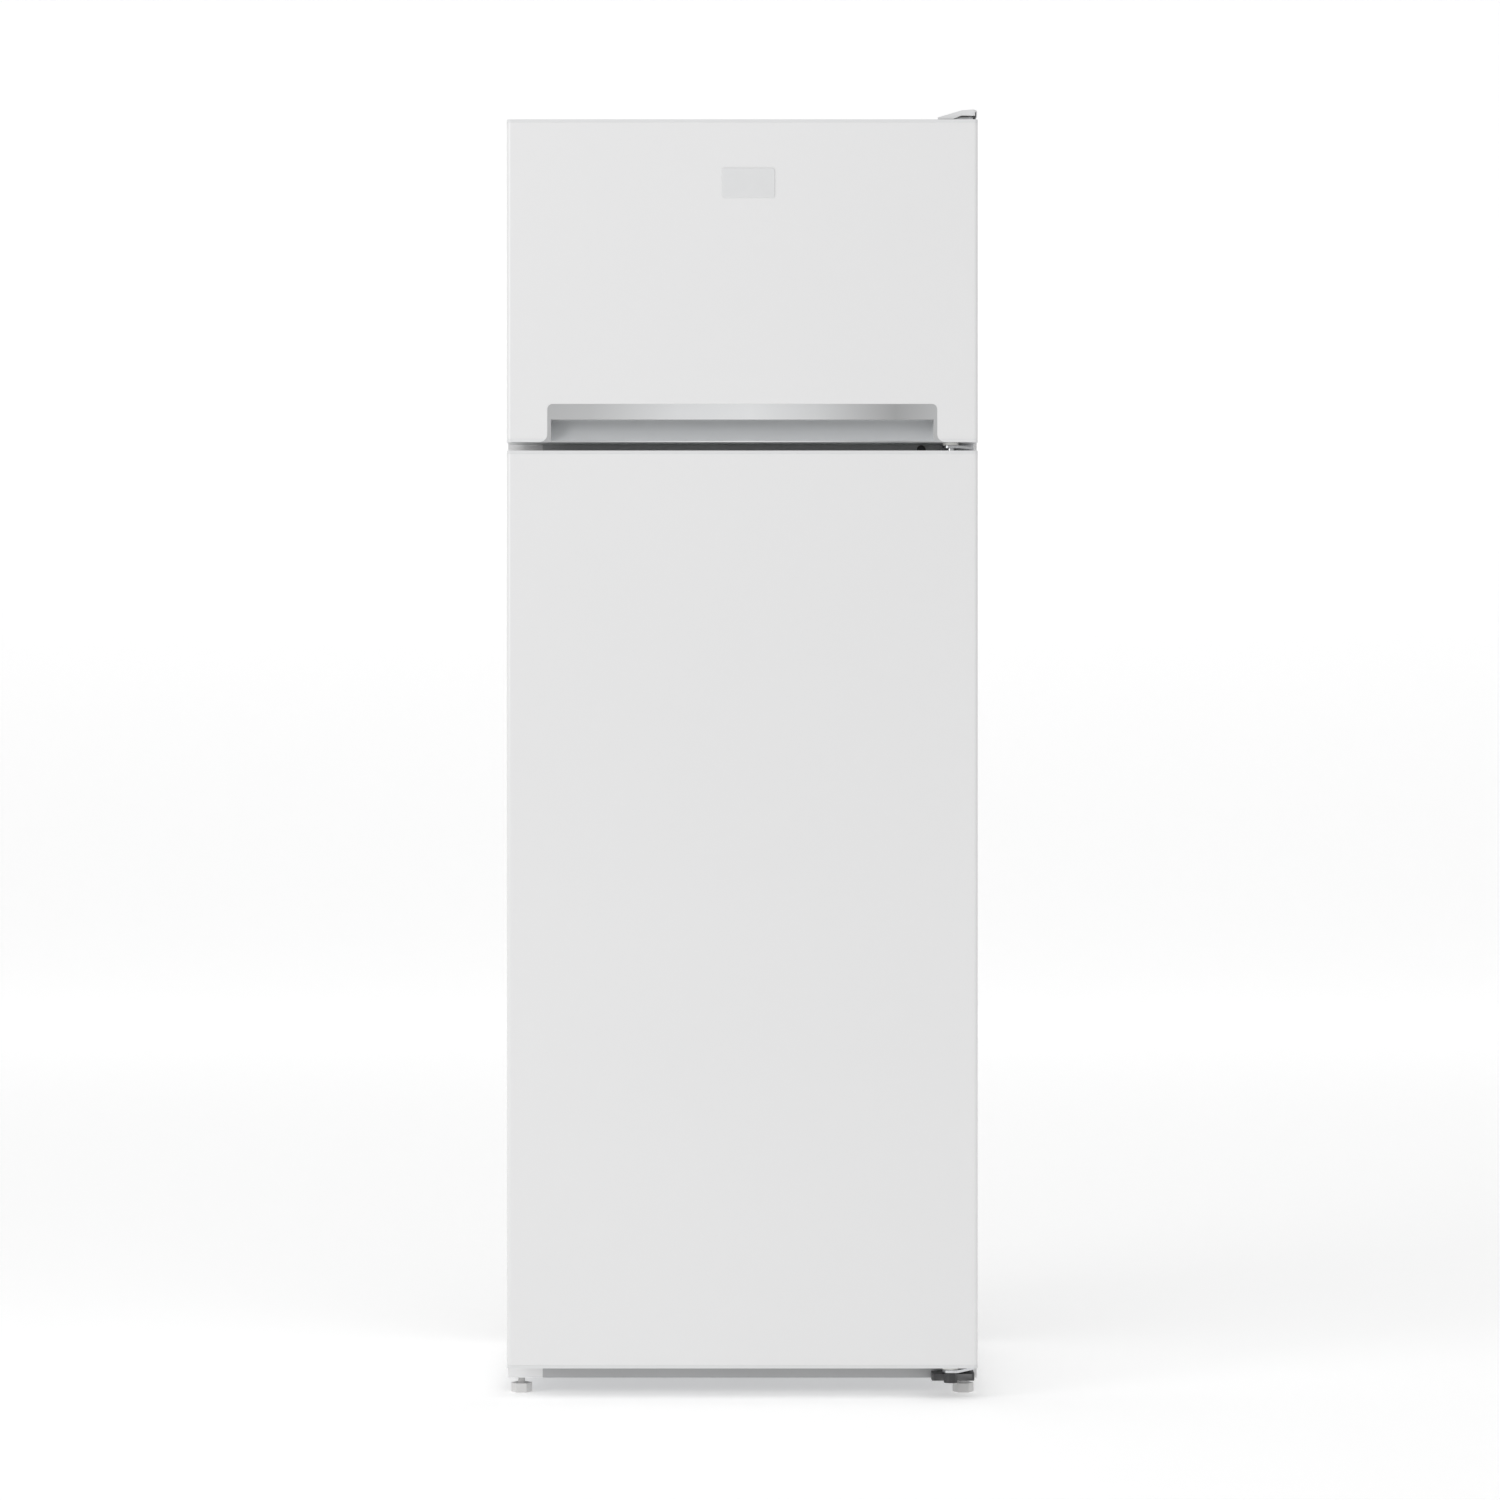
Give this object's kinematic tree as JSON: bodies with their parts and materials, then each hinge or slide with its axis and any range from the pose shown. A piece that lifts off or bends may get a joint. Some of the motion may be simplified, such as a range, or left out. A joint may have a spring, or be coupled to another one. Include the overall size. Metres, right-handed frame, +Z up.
{
  "type": "top freezer refrigerator",
  "caption": "Static-cooled refrigerator with a freezer above, hinged doors, recessed handle, racks, shelves, crisper drawer, rear condenser, compressor, levelling feet and rollers",
  "frame": {"origin": "on the floor under the middle of the bounding box", "axes": "+X to the right seen from the front, +Y to the back, +Z up; the doors face -Y"},
  "size_m": [0.54, 0.574, 1.472],
  "materials": {
    "white_paint": "gloss white enamel with a fine orange-peel texture",
    "galvanised_steel": "dull galvanised sheet",
    "grey_paint": "satin grey paint",
    "insulating_foam": "cut closed-cell foam",
    "white_liner": "vacuum-formed white plastic",
    "cap_plastic": "moulded white plastic",
    "gasket_rubber": "soft light grey magnetic gasket",
    "aluminium_plate": "roll-bonded aluminium",
    "shelf_glass": "toughened clear glass",
    "shelf_trim": "white shelf edging",
    "freezer_shelf": "moulded white plastic",
    "ice_tray": "pale blue flexible plastic",
    "housing_plastic": "satin white plastic",
    "lens_clear": "frosted clear lens",
    "bulb_glass": "small pearl bulb",
    "knob_plastic": "satin light grey plastic",
    "silver_trim": "silver metallic paint on plastic",
    "clear_plastic": "clear polystyrene",
    "egg_tray": "translucent white plastic",
    "crisper_plastic": "clear tinted polystyrene",
    "bush_nylon": "white nylon",
    "hinge_steel": "bright zinc plated steel",
    "dark_plastic": "dark grey moulded plastic",
    "condenser_black": "black painted wire and tube",
    "spacer_plastic": "black moulded plastic",
    "compressor_black": "black painted pressed steel shell",
    "copper": "drawn copper tube",
    "grommet_rubber": "black rubber mount",
    "foot_plastic": "light grey moulded foot",
    "roller_plastic": "white nylon roller"
  },
  "bodies": {
    "cabinet": {"back_panel": "galvanised_steel", "base_panel": "galvanised_steel", "base_rail": "grey_paint", "blanking_plugs": "dark_plastic", "bottom_hinge_base": "dark_plastic", "bottom_hinge_bracket": "hinge_steel", "cabinet_foam": "insulating_foam", "compressor": "compressor_black", "compressor_base": "galvanised_steel", "condenser": "condenser_black", "condenser_spacers": "spacer_plastic", "divider_rail": "galvanised_steel", "drain_tube": "spacer_plastic", "evaporation_pan": "spacer_plastic", "evaporators": "aluminium_plate", "freezer_liner": "white_liner", "freezer_shelf": "freezer_shelf", "fridge_liner": "white_liner", "grommets": "grommet_rubber", "ice_tray": "ice_tray", "lamp_bulb": "bulb_glass", "lamp_lens": "lens_clear", "middle_hinge_bracket": "hinge_steel", "refrigerant_lines": "copper", "relay_box": "dark_plastic", "roller_axles": "hinge_steel", "screws": "hinge_steel", "shelf_glasses": "shelf_glass", "shelf_trims": "shelf_trim", "side_panel_left": "white_paint", "side_panel_right": "white_paint", "thermostat_housing": "housing_plastic", "top_hinge_bracket": "hinge_steel", "top_hinge_cover": "cap_plastic", "top_panel": "white_paint"},
    "freezer_door": {"freezer_door_skin": "white_paint", "freezer_door_foam": "insulating_foam", "freezer_door_liner": "white_liner", "freezer_door_caps": "cap_plastic", "freezer_door_bushes": "bush_nylon", "freezer_door_gasket": "gasket_rubber", "handle_trim": "silver_trim", "badge": "silver_trim", "freezer_racks": "clear_plastic"},
    "fridge_door": {"fridge_door_skin": "white_paint", "fridge_door_foam": "insulating_foam", "fridge_door_liner": "white_liner", "fridge_door_caps": "cap_plastic", "fridge_door_bushes": "bush_nylon", "fridge_door_gasket": "gasket_rubber", "bottle_rack": "clear_plastic", "fridge_racks": "clear_plastic", "egg_tray": "egg_tray"},
    "crisper": {"crisper_drawer": "crisper_plastic"},
    "knob": {"thermostat_knob": "knob_plastic"},
    "plunger": {"door_switch_plunger": "knob_plastic"},
    "left_foot": {"foot_left": "foot_plastic"},
    "right_foot": {"foot_right": "foot_plastic"},
    "left_roller": {"roller_left": "roller_plastic"},
    "right_roller": {"roller_right": "roller_plastic"}
  },
  "joints": [
    {"name": "freezer_door_swing", "type": "hinge", "parent": "cabinet", "child": "freezer_door", "pos_m": [0.238, -0.268, 1.27], "axis": [0, 0, 1], "range_deg": [0, 130]},
    {"name": "fridge_door_swing", "type": "hinge", "parent": "cabinet", "child": "fridge_door", "pos_m": [0.238, -0.268, 0.56], "axis": [0, 0, 1], "range_deg": [0, 130]},
    {"name": "crisper_slide", "type": "slide", "parent": "cabinet", "child": "crisper", "axis": [0, -1, 0], "range_m": [0, 0.098]},
    {"name": "thermostat_turn", "type": "hinge", "parent": "cabinet", "child": "knob", "pos_m": [0.05, -0.12, 1], "axis": [0, 0, -1], "range_deg": [0, 270]},
    {"name": "door_switch_press", "type": "slide", "parent": "cabinet", "child": "plunger", "axis": [0, -1, 0], "range_m": [0, 0.008]},
    {"name": "left_foot_screw", "type": "slide", "parent": "cabinet", "child": "left_foot", "axis": [0, 0, 1], "range_m": [-0.006, 0.004]},
    {"name": "right_foot_screw", "type": "slide", "parent": "cabinet", "child": "right_foot", "axis": [0, 0, 1], "range_m": [-0.006, 0.004]},
    {"name": "left_roller_spin", "type": "hinge", "parent": "cabinet", "child": "left_roller", "pos_m": [-0.232, 0.228, 0.015], "axis": [1, 0, 0], "continuous": true},
    {"name": "right_roller_spin", "type": "hinge", "parent": "cabinet", "child": "right_roller", "pos_m": [0.232, 0.228, 0.015], "axis": [1, 0, 0], "continuous": true}
  ],
  "couplings": [
    {"joint": "crisper_slide", "follows": "fridge_door_swing", "m_per_rad": 0.0431},
    {"joint": "door_switch_press", "follows": "fridge_door_swing", "m_per_rad": 0.0035}
  ]
}
